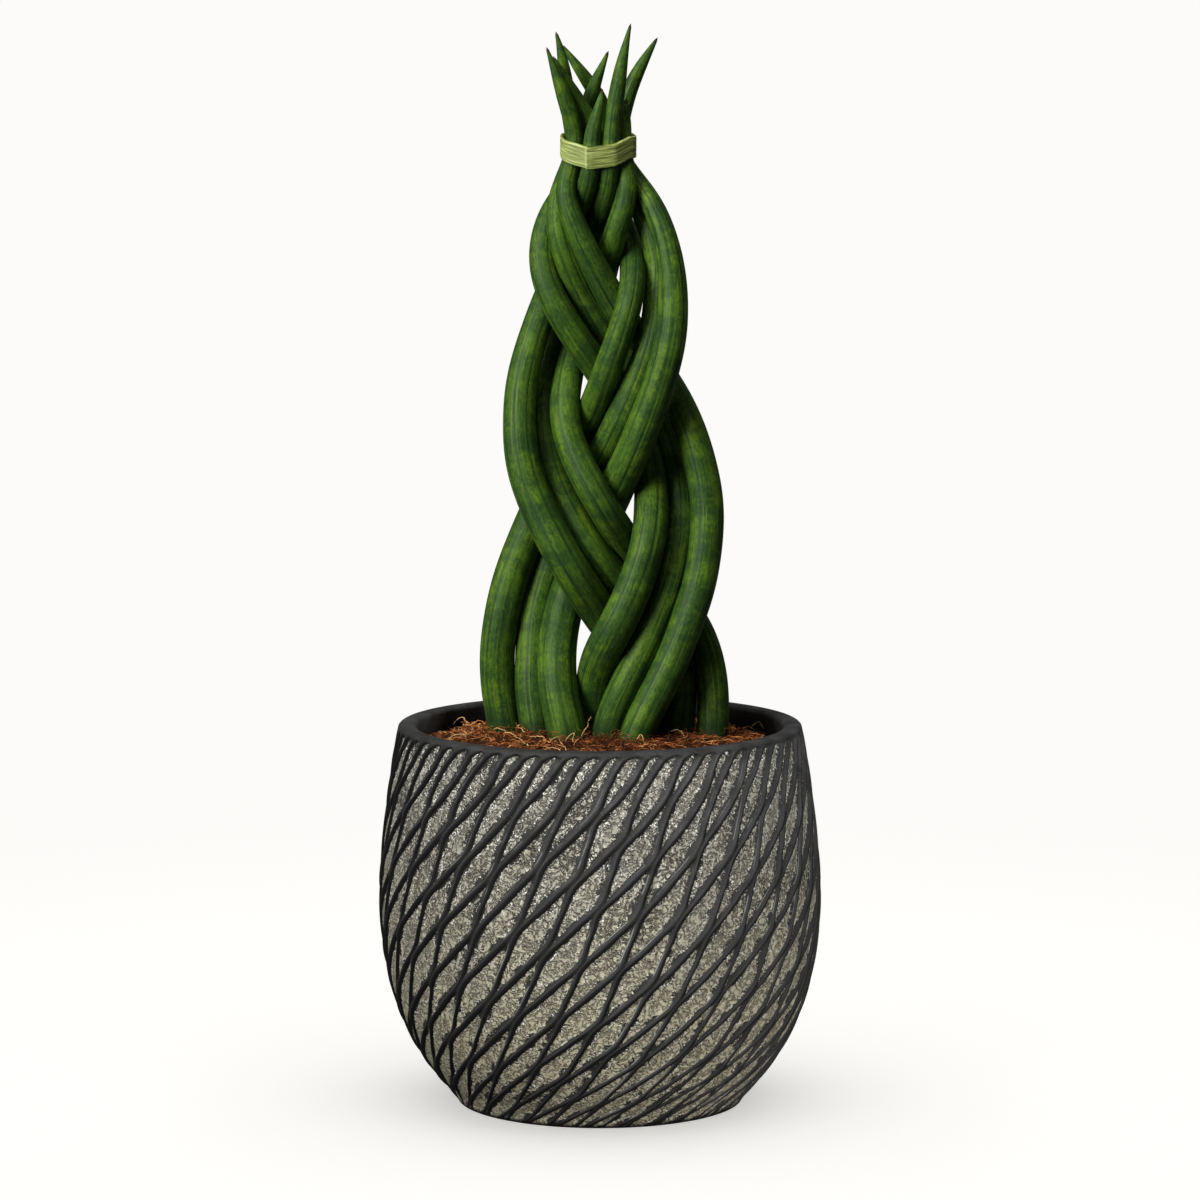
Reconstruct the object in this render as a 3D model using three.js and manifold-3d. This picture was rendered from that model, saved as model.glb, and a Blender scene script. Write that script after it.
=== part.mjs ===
// Braided cylindrical snake plant in a carved round pot.
// Millimetres, +Z up, front towards -Y, origin in the middle of the pot's foot.
import * as THREE from 'three';
import { mergeVertices } from 'three/addons/utils/BufferGeometryUtils.js';
import Module from 'manifold-3d';

const wasm = await Module();
wasm.setup();

// ---------------------------------------------------------------- driving dimensions
const CLEARANCE = 0.35;             // gap between pieces that touch

const POT_HEIGHT = 191;
const POT_BELLY = 111.3;            // largest radius, on the crests of the ridges
const POT_BELLY_AT = 106;           // height of the largest radius
const POT_FOOT = 71.6;
const POT_MOUTH = 100.8;            // outer radius at the rim
const POT_WALL = 8.8;
const POT_FLOOR = 12;
const FLOOR_CORNER = 14;            // width of the slope between floor and wall inside
const RIM_ROUND = 2.2;
const INNER_SEGMENTS = 44;
const RIM_BAND = 1;                 // plain band between the rim's rounding and the carving

const RIDGES = 64;
const LEAN_AT_FOOT = 1.1;           // sideways run of a ridge for each millimetre up the wall
const LEAN_AT_RIM = 0.68;
const RIDGE_HALF_WIDTH = 2;
const CARVING_DEPTH = 1.6;
const FACET_LENGTH = 57;            // up the wall, from one crossing of two ridges to the next
const STRAIGHT_BELOW_RIM = 36;      // the ridges sway less in this last stretch
const CARVING_ROWS = 15;

const SOIL_TOP = 174;
const COIR_AT_WALL = 178;
const COIR_AT_MIDDLE = 187;
const COIR_FIBRES = 29;

const LEAF_SIDES = 8;
const LEAF_STATIONS = 36;
const LEAF_END = 118;               // lower ends of the leaves, in the soil
const NECK_RADIUS = 4.2;            // of each leaf inside the tie
const NECK_LEVELS = [471, 485];
const NECK_RINGS = [12.9, 12.5];    // eight leaves stand in a ring round the ninth
const NECK_SIDE = -1;

const TIE_HEIGHT = 10.6;
const TIE_THICKNESS = 0.9;
const TIE_MIDDLE = 479;
const TIE_TILT = 0.28;              // rise for each millimetre from front to back

// ---------------------------------------------------------------- the plait, leaf by leaf
// side (+ right) and depth (+ back) of each leaf's middle line at these heights, before the
// leaves settle against each other; girth is its radius at three of them. neck is its place in
// the ring at the tie, in degrees from the front towards the right, or null for the middle.
// tip holds the points above the tie, as side, depth, height and radius.
const LEVELS = [185, 204, 223, 243, 263, 283, 303, 323, 343, 363, 383, 403, 423, 443, 460];
const GIRTH_LEVELS = [223, 303, 403];
const SHOULDER = [443, 5.8];        // height and radius where a leaf narrows towards the tie
const PLAIT = {
  leaf_a1: {
    side: [-4, -3.5, -1, 8.4, 16.8, 22.8, 24.5, 22.5, 14.5, 3, -9.7, -20.8, -26.2, -22.4, -14],
    depth: [8, 2, -5, -8, -7.5, -4, 1, 6, 7, 5, -3, -6, -3, 5, 10.5],
    girth: [9.3, 8.3, 7.1],
    neck: -150,
    tip: [[-6.5, 9.5, 497, 4.2], [-2.2, 7.5, 509, 3.9], [4.5, 8, 526, 0]],
  },
  leaf_a2: {
    side: [2.5, 8, 16.8, 26.8, 34.2, 38.9, 39.2, 36, 28.5, 18, 6, -6, -16, -20.5, -18.5],
    depth: [-7, -9, -9, -7, -5.5, -2, 2, 5.5, 9, 10, 6.5, -1.5, -4, -4, 0.5],
    girth: [7.8, 7.7, 6.9],
    neck: -105,
    tip: [[-15.5, 3.5, 497, 4.2], [-16.8, 2, 509, 4], [-18.1, 0, 521, 3.1], [-21.8, -1, 535.5, 0]],
  },
  leaf_a3: {
    side: [16.5, 25, 34.5, 42.3, 49, 52.3, 53, 49.5, 43.2, 32.6, 19, 7.5, -2.5, -10.5, -15],
    depth: [-12, -12, -10.5, -8, -5, -2, 0, 0.5, 2.5, 7, 6.5, -1.5, -8.5, -11.5, -9.5],
    girth: [8.4, 8.2, 7.2],
    neck: -60,
    tip: [[-15.2, -9, 497, 4.2], [-19.5, -11.5, 509, 3.6], [-26, -13, 528, 0]],
  },
  leaf_b1: {
    side: [-46, -49.1, -50.1, -48.1, -43.8, -36.4, -27.9, -16.6, -5.5, 2, 9, 15.2, 16.9, 13, 3.5],
    depth: [6, 4, 2, 1, 3, 6, 7, 6.5, -1, -9, -9, -4, 2, 11, 1],
    girth: [8.8, 8.2, 6.4],
    neck: null,
    tip: [[-8.5, -2, 497, 4.1], [-15, -5.5, 509, 3.4], [-23, -7.5, 523.5, 0]],
  },
  leaf_b2: {
    side: [-32.5, -35.6, -35.6, -34.4, -29.2, -21.6, -10.8, -2, 6.5, 14.6, 21.6, 23.8, 23.2, 17.5, 6.5],
    depth: [-2, -1, 1, 3, 6, 8, 6, 2, -3.5, -4, -3, 1, 3.5, 5, 12.5],
    girth: [8.5, 8, 6.9],
    neck: 165,
    tip: [[1.5, 14.5, 497, 4.3], [-6, 15, 509, 3.7], [-13.8, 15, 520, 2.6], [-20, 15, 529, 0]],
  },
  leaf_b3: {
    side: [-15.2, -19.6, -21.2, -18.8, -12.4, -3.6, 6.3, 14.7, 22.3, 29.2, 34.2, 35.8, 34.2, 28.5, 19.5],
    depth: [-9, -6, -1, 5, 9, 7.5, 3, -6, -9, -10, -9, -6, -4, 0, 6],
    girth: [9.8, 9, 7.5],
    neck: 120,
    tip: [[11.6, 7, 497, 4.2], [15.5, 7.5, 509, 4], [22, 8, 521, 3], [28.5, 8, 532.5, 0]],
  },
  leaf_c1: {
    side: [26.5, 23.5, 16, 3.5, -9, -20.4, -30.5, -37.1, -38.6, -37.3, -31.9, -24.6, -17, -11, -6],
    depth: [12, 10, 9, 5.5, -8, -9, -7.5, -6.5, -4, -1, 2, 8, 8, 7, -13.5],
    girth: [9.3, 8.8, 7.1],
    neck: -15,
    tip: [[-1.2, -12.5, 493, 4.1], [1.5, -12, 507.5, 0]],
  },
  leaf_c2: {
    side: [40, 42.4, 40.4, 26.5, 10, -4.5, -16.5, -24.5, -27, -26.5, -23, -17, -9, -2, 4],
    depth: [0, 4, 8, 8, 1, -4, -1, 1.5, 4, 7, 9.5, 8.5, 8, 0.5, -11.5],
    girth: [8, 7.8, 7],
    neck: 30,
    tip: [[7, -11, 497, 4.3], [8.8, -11.5, 509, 4], [10.8, -11.5, 521, 3.2], [15, -12, 539.5, 0]],
  },
  leaf_c3: {
    side: [55.4, 55.4, 52.8, 44.3, 27, 11, 0, -10.5, -16.5, -15, -10, -1.5, 5.5, 8.5, 12.5],
    depth: [2, 3, 5, 8, 8, 1, -9, -7.5, -1.5, 5.5, 9, 9, 6, -3.5, -5],
    girth: [7.9, 7.9, 6.9],
    neck: 75,
    tip: [[12.5, -3, 493, 3.7], [12.6, -2.5, 503, 0]],
  },
};
const SETTLE_ROUNDS = 340;
const SPREAD_ROUNDS = 260;
const NEIGHBOUR_REACH = 24;         // leaves farther apart than this in height don't meet
const SIDEWAYS_GIVE = 0.025;        // share of a sideways push that a leaf follows
const NECK_BELOW = [430, 455];      // the share grows to the whole through these heights
const NECK_ABOVE = [486, 498];      // and falls back through these
const NECK_HOLD = 0.5;              // share of its shift that a leaf keeps where the tie holds it

// ---------------------------------------------------------------- solids and meshes
function solidOf(geometry) {
  const plain = geometry.clone();
  plain.deleteAttribute('normal');
  plain.deleteAttribute('uv');
  const welded = mergeVertices(plain, 1e-4);
  return new wasm.Manifold(new wasm.Mesh({
    numProp: 3,
    vertProperties: new Float32Array(welded.attributes.position.array),
    triVerts: new Uint32Array(welded.index.array),
  }));
}

function geometryOf(solid) {
  const mesh = solid.getMesh();
  const geometry = new THREE.BufferGeometry();
  geometry.setAttribute('position', new THREE.BufferAttribute(mesh.vertProperties, 3));
  geometry.setIndex(new THREE.BufferAttribute(mesh.triVerts, 1));
  geometry.computeVertexNormals();
  return geometry;
}

// Closed skin over rings of points, lowest first, each ring counterclockwise from above.
// A ring of one point closes that end as a point; a longer end ring is closed with a fan.
function skinRings(rings) {
  const first = rings[0].length > 1 ? [[centreOf(rings[0])], ...rings] : rings;
  const closed = first.at(-1).length > 1 ? [...first, [centreOf(first.at(-1))]] : first;
  const points = closed.flat();
  const triangles = [];
  let start = 0;
  for (let k = 0; k + 1 < closed.length; k += 1) {
    const below = closed[k].length;
    const above = closed[k + 1].length;
    const next = start + below;
    const count = Math.max(below, above);
    for (let i = 0; i < count; i += 1) {
      const j = (i + 1) % count;
      if (below > 1) triangles.push(start + i, start + j, next + (above > 1 ? j : 0));
      if (above > 1) triangles.push(start + (below > 1 ? i : 0), next + j, next + i);
    }
    start = next;
  }
  const geometry = new THREE.BufferGeometry();
  const places = points.flatMap((p) => p.toArray());
  geometry.setAttribute('position', new THREE.Float32BufferAttribute(places, 3));
  geometry.setIndex(triangles);
  return geometry;
}

function centreOf(ring) {
  const centre = new THREE.Vector3();
  ring.forEach((p) => centre.add(p));
  return centre.divideScalar(ring.length);
}

// direction of a line of points at one of them
function headingAt(points, k) {
  const after = points[Math.min(k + 1, points.length - 1)];
  const before = points[Math.max(k - 1, 0)];
  return new THREE.Vector3().subVectors(after, before).normalize();
}

function piece(name, geometry, color, roughness) {
  const mesh = new THREE.Mesh(geometry, new THREE.MeshStandardMaterial({ color, roughness, metalness: 0 }));
  mesh.name = name;
  return mesh;
}

// ---------------------------------------------------------------- pot
const lowerWall = new THREE.CubicBezierCurve(
  new THREE.Vector2(POT_FOOT, 0),
  new THREE.Vector2(POT_FOOT + 6.5, 11),
  new THREE.Vector2(POT_BELLY, 32),
  new THREE.Vector2(POT_BELLY, POT_BELLY_AT),
);
const upperWall = new THREE.CubicBezierCurve(
  new THREE.Vector2(POT_BELLY, POT_BELLY_AT),
  new THREE.Vector2(POT_BELLY, POT_BELLY_AT + 18.6),
  new THREE.Vector2(POT_MOUTH + 4.7, POT_HEIGHT - 18),
  new THREE.Vector2(POT_MOUTH, POT_HEIGHT),
);
const wall = new THREE.CurvePath();
wall.add(lowerWall);
wall.add(upperWall);
const wallSamples = wall.getSpacedPoints(400);
const INNER_LEVELS = [POT_FLOOR, 34, 60, 90, 130, SOIL_TOP, POT_HEIGHT - RIM_ROUND];

function wallRadiusAt(height) {
  const k = wallSamples.findIndex((p) => p.y >= height);
  const above = wallSamples[k];
  const below = wallSamples[Math.max(k - 1, 0)];
  const t = above.y > below.y ? (height - below.y) / (above.y - below.y) : 0;
  return THREE.MathUtils.lerp(below.x, above.x, t);
}

// the place of ridge n and its half width, both in ridge pitches: it swings from side to side,
// away from one neighbour and up to the other, and is broader where it leans more
function ridgeAt(n, run, radius, carvedLength) {
  const k = (n + RIDGES) % RIDGES;
  const turn = (2 * Math.PI * run) / FACET_LENGTH;
  const drift = 0.5 * Math.sin(0.9 * k) + 0.35 * Math.sin(0.4 * turn + 0.7 * k);
  const phase = turn + (2 * Math.PI * 3 * k) / RIDGES + drift;
  const freedom = 0.1 + 0.9 * THREE.MathUtils.clamp((carvedLength - run) / STRAIGHT_BELOW_RIM, 0, 1);
  const side = (k % 2 ? -1 : 1) * freedom;
  const swing = 0.34 + 0.04 * Math.sin(1.9 * k + 0.6);
  const pitch = (2 * Math.PI * radius) / RIDGES;
  const half = (RIDGE_HALF_WIDTH * radius) / POT_BELLY / pitch;
  return {
    place: n + side * swing * (Math.cos(phase) + Math.cos(3 * phase) / 9),
    half: half * (1 - 0.35 * side * Math.sin(phase)),
  };
}

function buildPot() {
  const length = wall.getLength();
  const carvedLength = length - RIM_BAND - RIM_ROUND;
  const rings = [];
  let twist = 0;
  let lastRun = 0;
  for (let row = 0; row <= CARVING_ROWS + 1; row += 1) {
    const run = row <= CARVING_ROWS ? (carvedLength * row) / CARVING_ROWS : length - RIM_ROUND;
    const middle = wall.getPointAt((run + lastRun) / 2 / length);
    const lean = LEAN_AT_RIM + (LEAN_AT_FOOT - LEAN_AT_RIM) * (1 - (run + lastRun) / 2 / length) ** 2.5;
    twist += (lean * (run - lastRun)) / middle.x;
    lastRun = run;
    const at = wall.getPointAt(run / length);
    const pitch = (2 * Math.PI * at.x) / RIDGES;
    const carved = row > 0 && row < CARVING_ROWS;
    const ring = [];
    for (let n = 0; n < RIDGES; n += 1) {
      const [before, here, after] = [n - 1, n, n + 1].map((m) => ridgeAt(m, run, at.x, carvedLength));
      const leftGap = here.place - before.place;
      const rightGap = after.place - here.place;
      const columns = [
        [-Math.min(here.half, 0.46 * leftGap), leftGap - before.half - here.half],
        [0, 0],
        [Math.min(here.half, 0.46 * rightGap), rightGap - here.half - after.half],
      ];
      for (const [aside, room] of columns) {
        const depth = carved ? CARVING_DEPTH * THREE.MathUtils.clamp((room * pitch) / 2.5, 0, 1) : 0;
        const radius = at.x - (aside ? depth : 0);
        const angle = (2 * Math.PI * (here.place + aside)) / RIDGES + twist;
        ring.push(new THREE.Vector3(radius * Math.cos(angle), radius * Math.sin(angle), at.y));
      }
    }
    rings.push(ring);
  }
  const rimRing = rings.at(-1);
  const rimTop = rimRing.map((p) => {
    const shrink = (POT_MOUTH - RIM_ROUND) / POT_MOUTH;
    return new THREE.Vector3(p.x * shrink, p.y * shrink, POT_HEIGHT);
  });
  rings.push(rimTop);
  const outside = solidOf(skinRings(rings));
  const profile = [new THREE.Vector2(0, POT_FLOOR), ...innerProfile(0)];
  const mouth = profile.at(-1).x;
  profile.push(new THREE.Vector2(mouth + RIM_ROUND, POT_HEIGHT));
  profile.push(new THREE.Vector2(mouth + RIM_ROUND, POT_HEIGHT + 5));
  profile.push(new THREE.Vector2(0, POT_HEIGHT + 5));
  const inside = solidOf(latheUp(profile, INNER_SEGMENTS));
  return geometryOf(outside.subtract(inside));
}

// inner wall from the floor's edge to just under the mouth, drawn in by a clearance
function innerProfile(clearance) {
  return INNER_LEVELS.map((height, k) => {
    const inset = POT_WALL + clearance + (k === 0 ? FLOOR_CORNER : 0);
    return new THREE.Vector2(wallRadiusAt(height) - inset, height + (k === 0 ? clearance : 0));
  });
}

// LatheGeometry turns its profile round Y; this stands it up along Z
function latheUp(profile, segments) {
  return new THREE.LatheGeometry(profile, segments).rotateX(Math.PI / 2);
}

// ---------------------------------------------------------------- leaves
function girthAt(height, girths) {
  const k = girths.findIndex(([level]) => level >= height);
  if (k === -1) return girths.at(-1)[1];
  if (k === 0) return girths[0][1];
  const [lowLevel, low] = girths[k - 1];
  const [highLevel, high] = girths[k];
  return THREE.MathUtils.lerp(low, high, (height - lowLevel) / (highLevel - lowLevel));
}

function layLeaf({ side, depth, girth, neck, tip }) {
  const start = new THREE.Vector3(side[0], depth[0], LEAF_END);
  const laid = LEVELS.map((level, k) => new THREE.Vector3(side[k], depth[k], level));
  const turn = THREE.MathUtils.degToRad(neck);
  const held = NECK_LEVELS.map((level, k) => {
    const ring = neck === null ? 0 : NECK_RINGS[k];
    return new THREE.Vector3(NECK_SIDE + ring * Math.sin(turn), -ring * Math.cos(turn), level);
  });
  const ends = tip.map(([x, y, z]) => new THREE.Vector3(x, y, z));
  const route = new THREE.CatmullRomCurve3([start, ...laid, ...held, ...ends]);
  const points = route.getSpacedPoints(LEAF_STATIONS);
  const girths = [
    ...GIRTH_LEVELS.map((level, k) => [level, girth[k]]),
    SHOULDER,
    ...NECK_LEVELS.map((level) => [level, NECK_RADIUS]),
    ...tip.map(([, , z, radius]) => [z, radius]),
  ];
  return { points, radii: points.map((p) => girthAt(p.z, girths)) };
}

// Moves two leaves apart where their middle lines run closer than their thickness allows.
function pushApart(one, other) {
  const probe = new THREE.Vector3();
  const span = new THREE.Vector3();
  const push = new THREE.Vector3();
  for (let i = 0; i + 1 < one.points.length; i += 1) {
    for (const s of [0, 1 / 3, 2 / 3]) {
      const radius = THREE.MathUtils.lerp(one.radii[i], one.radii[i + 1], s);
      for (let j = 0; j + 1 < other.points.length; j += 1) {
        const low = other.points[j];
        const high = other.points[j + 1];
        probe.lerpVectors(one.points[i], one.points[i + 1], s);
        if (Math.abs(probe.z - (low.z + high.z) / 2) > NEIGHBOUR_REACH) continue;
        span.subVectors(high, low);
        const t = THREE.MathUtils.clamp(push.subVectors(probe, low).dot(span) / span.lengthSq(), 0, 1);
        push.subVectors(probe, low).addScaledVector(span, -t);
        const room = radius + THREE.MathUtils.lerp(other.radii[j], other.radii[j + 1], t) + CLEARANCE;
        const lack = room - push.length();
        if (lack <= 0) continue;
        const rising = THREE.MathUtils.smoothstep(probe.z, ...NECK_BELOW);
        const free = rising - THREE.MathUtils.smoothstep(probe.z, ...NECK_ABOVE);
        push.setLength(lack / 2);
        push.set(push.x * THREE.MathUtils.lerp(SIDEWAYS_GIVE, 1, free), push.y, 0);
        one.points[i].addScaledVector(push, 1 - s);
        one.points[i + 1].addScaledVector(push, s);
        low.addScaledVector(push, t - 1);
        high.addScaledVector(push, -t);
      }
    }
  }
}

// Draws up the plait: the leaves are pushed apart, mostly in depth, and each push is spread
// along the leaf. The tie holds them back at the neck, and the last rounds only push.
function settle(leaves) {
  const routes = leaves.map(({ points }) => points.map((p) => p.clone()));
  for (let round = 0; round < SETTLE_ROUNDS; round += 1) {
    leaves.forEach((one) => leaves.forEach((other) => {
      if (one !== other) pushApart(one, other);
    }));
    if (round >= SPREAD_ROUNDS) continue;
    leaves.forEach(({ points }, k) => {
      const shifts = points.map((p, i) => p.clone().sub(routes[k][i]));
      points.forEach((p, i) => {
        const before = shifts[Math.max(i - 1, 0)];
        const after = shifts[Math.min(i + 1, points.length - 1)];
        const held = p.z > NECK_LEVELS[0] && p.z < NECK_LEVELS[1] ? NECK_HOLD : 1;
        p.copy(routes[k][i]).addScaledVector(shifts[i], 0.5 * held);
        p.addScaledVector(before, 0.25 * held).addScaledVector(after, 0.25 * held);
      });
    });
  }
}

function leafGeometry({ points, radii }, extra = 0) {
  const rings = [];
  const last = points.length - 1;
  points.forEach((p, k) => {
    if (k === last && !extra) {
      rings.push([p.clone()]);
      return;
    }
    const ahead = headingAt(points, k);
    const right = new THREE.Vector3(0, 1, 0).cross(ahead).normalize();
    const back = new THREE.Vector3().crossVectors(ahead, right);
    const ring = [];
    for (let i = 0; i < LEAF_SIDES; i += 1) {
      const angle = (2 * Math.PI * (i + 0.5)) / LEAF_SIDES;
      const radius = (k === 0 ? 0.6 * radii[0] : radii[k]) + extra;
      const corner = p.clone().addScaledVector(right, radius * Math.cos(angle));
      ring.push(corner.addScaledVector(back, radius * Math.sin(angle)));
    }
    rings.push(ring);
  });
  return skinRings(rings);
}

const leafNames = Object.keys(PLAIT);
const leaves = leafNames.map((name) => layLeaf(PLAIT[name]));
settle(leaves);

// the stretch of a leaf below a height, a clearance thicker all round: the hole it stands in
function leafHole({ points, radii }, top) {
  const end = points[0].clone();
  end.z -= CLEARANCE;
  const count = points.findIndex((p) => p.z > top) + 1;
  const hole = { points: [end, ...points.slice(1, count)], radii: radii.slice(0, count) };
  return solidOf(leafGeometry(hole, CLEARANCE));
}

function withLeafHoles(solid, top) {
  return leaves.reduce((left, leaf) => left.subtract(leafHole(leaf, top)), solid);
}

// ---------------------------------------------------------------- soil and coir
function buildSoil() {
  const side = innerProfile(CLEARANCE).filter((p) => p.y <= SOIL_TOP);
  const profile = [new THREE.Vector2(0, side[0].y), ...side, new THREE.Vector2(0, SOIL_TOP)];
  return geometryOf(withLeafHoles(solidOf(latheUp(profile, INNER_SEGMENTS)), SOIL_TOP + 5));
}

function seeded(seed) {
  let state = seed;
  return () => {
    state = (state * 1664525 + 1013904223) % 4294967296;
    return state / 4294967296;
  };
}

function coirHeight(x, y) {
  const spread = Math.min(1, Math.hypot(x, y) / (wallRadiusAt(COIR_AT_WALL) - POT_WALL));
  const lumps = 0.9 * Math.sin(0.21 * x + 1.3 * Math.sin(0.13 * y)) * Math.cos(0.17 * y + 0.6);
  return COIR_AT_MIDDLE - (COIR_AT_MIDDLE - COIR_AT_WALL) * spread ** 3 + lumps;
}

function coirFibre(random) {
  const turn = 2 * Math.PI * random();
  const reach = 88 * Math.sqrt(random());
  const x = reach * Math.cos(turn);
  const y = reach * Math.sin(turn);
  const heading = 2 * Math.PI * random();
  const length = Math.min(8 + 16 * random(), 12 + (90 - reach));
  const rise = 1 + 4 * random();
  const bend = (random() - 0.5) * 1.6;
  const points = [];
  const steps = 4;
  for (let k = 0; k <= steps; k += 1) {
    const along = length * (k / steps - 0.5);
    const angle = heading + bend * (k / steps - 0.5);
    const px = x + along * Math.cos(angle);
    const py = y + along * Math.sin(angle);
    const inward = Math.min(1, 90 / Math.hypot(px, py));
    const lift = k === 0 || k === steps ? -2.2 : rise * Math.sin((Math.PI * k) / steps);
    const top = coirHeight(px * inward, py * inward);
    points.push(new THREE.Vector3(px * inward, py * inward, top + lift));
  }
  return points;
}

function fibreGeometry(points, radius) {
  const rings = points.map((p, k) => {
    const ahead = headingAt(points, k);
    const side = new THREE.Vector3(0, 0, 1).cross(ahead).normalize();
    const up = new THREE.Vector3().crossVectors(ahead, side);
    return [0, 1, 2].map((i) => {
      const angle = (2 * Math.PI * i) / 3;
      const corner = p.clone().addScaledVector(side, radius * Math.cos(angle));
      return corner.addScaledVector(up, radius * Math.sin(angle));
    });
  });
  return skinRings(rings);
}

function buildCoir() {
  const sectors = 40;
  const rings = [];
  const floor = SOIL_TOP + CLEARANCE;
  const spreads = [1, 0.84, 0.64, 0.42, 0.2];
  const ringAt = (radius, heightAt) => Array.from({ length: sectors }, (_, i) => {
    const angle = (2 * Math.PI * i) / sectors;
    const x = radius * Math.cos(angle);
    const y = radius * Math.sin(angle);
    return new THREE.Vector3(x, y, heightAt(x, y));
  });
  const edge = wallRadiusAt(COIR_AT_WALL + 2) - POT_WALL - CLEARANCE;
  rings.push(ringAt(edge, () => floor));
  spreads.forEach((spread) => rings.push(ringAt(edge * spread, coirHeight)));
  let solid = solidOf(skinRings(rings));
  const random = seeded(41);
  for (let k = 0; k < COIR_FIBRES; k += 1) {
    solid = solid.add(solidOf(fibreGeometry(coirFibre(random), 0.75)));
  }
  return geometryOf(largestBody(withLeafHoles(solid, COIR_AT_MIDDLE + 20)));
}

// drops the ends of fibres that the leaf holes cut off
function largestBody(solid) {
  return solid.decompose().reduce((best, body) => (body.volume() > best.volume() ? body : best));
}

// ---------------------------------------------------------------- tie
// Farthest reach of the bundle in a direction, over the band's height: the strip lies on it.
function bundleReach(angle) {
  const direction = new THREE.Vector3(Math.cos(angle), Math.sin(angle), 0);
  let reach = 0;
  leaves.forEach(({ points, radii }) => points.slice(0, -1).forEach((low, k) => {
    const high = points[k + 1];
    for (let t = 0; t < 1; t += 0.25) {
      const p = low.clone().lerp(high, t);
      const middle = TIE_MIDDLE + TIE_TILT * p.y;
      if (Math.abs(p.z - middle) > TIE_HEIGHT / 2 + 3) continue;
      reach = Math.max(reach, p.dot(direction) + THREE.MathUtils.lerp(radii[k], radii[k + 1], t));
    }
  }));
  return reach;
}

function buildTie() {
  const count = 64;
  const step = (2 * Math.PI) / count;
  const outline = (offset) => Array.from({ length: count }, (_, i) => {
    const angle = i * step;
    const reach = bundleReach(angle) + offset;
    const sway = (bundleReach(angle + step / 2) - bundleReach(angle - step / 2)) / step;
    const x = reach * Math.cos(angle) - sway * Math.sin(angle);
    const y = reach * Math.sin(angle) + sway * Math.cos(angle);
    return new THREE.Vector3(x, y, 0);
  });
  const at = (points, lift) => points.map((p) => (
    new THREE.Vector3(p.x, p.y, TIE_MIDDLE + TIE_TILT * p.y + lift)
  ));
  const half = TIE_HEIGHT / 2;
  const outer = outline(CLEARANCE + TIE_THICKNESS);
  const inner = outline(CLEARANCE);
  const drum = solidOf(skinRings([at(outer, -half), at(outer, half)]));
  const bore = solidOf(skinRings([at(inner, -half - 3), at(inner, half + 3)]));
  return geometryOf(drum.subtract(bore));
}

// ---------------------------------------------------------------- the plant
const plant = new THREE.Group();
plant.add(piece('pot', buildPot(), 0x55544f, 0.75));
plant.add(piece('potting_soil', buildSoil(), 0x2a1c12, 0.95));
plant.add(piece('coir_dressing', buildCoir(), 0xa5552a, 0.95));
leafNames.forEach((name, k) => {
  plant.add(piece(name, leafGeometry(leaves[k]), 0x2d5f1e, 0.4));
});
plant.add(piece('raffia_tie', buildTie(), 0xb4b45a, 0.6));

export default plant;
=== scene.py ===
import math

import bpy
import numpy as np
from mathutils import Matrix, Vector


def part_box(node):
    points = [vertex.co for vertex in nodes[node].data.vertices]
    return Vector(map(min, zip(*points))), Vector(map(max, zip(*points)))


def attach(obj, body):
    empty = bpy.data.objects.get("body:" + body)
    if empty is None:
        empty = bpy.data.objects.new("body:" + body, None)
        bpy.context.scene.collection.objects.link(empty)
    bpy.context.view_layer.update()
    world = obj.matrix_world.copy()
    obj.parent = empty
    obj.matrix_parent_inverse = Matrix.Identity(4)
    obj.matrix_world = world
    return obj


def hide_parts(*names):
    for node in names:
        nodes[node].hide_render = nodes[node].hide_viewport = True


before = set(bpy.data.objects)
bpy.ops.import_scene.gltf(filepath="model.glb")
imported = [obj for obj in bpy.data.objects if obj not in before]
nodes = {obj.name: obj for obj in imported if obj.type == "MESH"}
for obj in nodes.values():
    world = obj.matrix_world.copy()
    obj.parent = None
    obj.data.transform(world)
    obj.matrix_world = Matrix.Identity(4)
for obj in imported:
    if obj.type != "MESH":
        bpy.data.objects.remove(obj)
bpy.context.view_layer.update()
scene = bpy.context.scene

# ---------------------------------------------------------------- pot
# A round stoneware pot, cast with a thick wall. While the clay was leather-hard its outside was
# carved into a net of slanting ridges; the hollows between were stippled. A charcoal slip covers
# it all, and a pale one was rubbed into the stippled hollows before the single matt firing.


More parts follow.
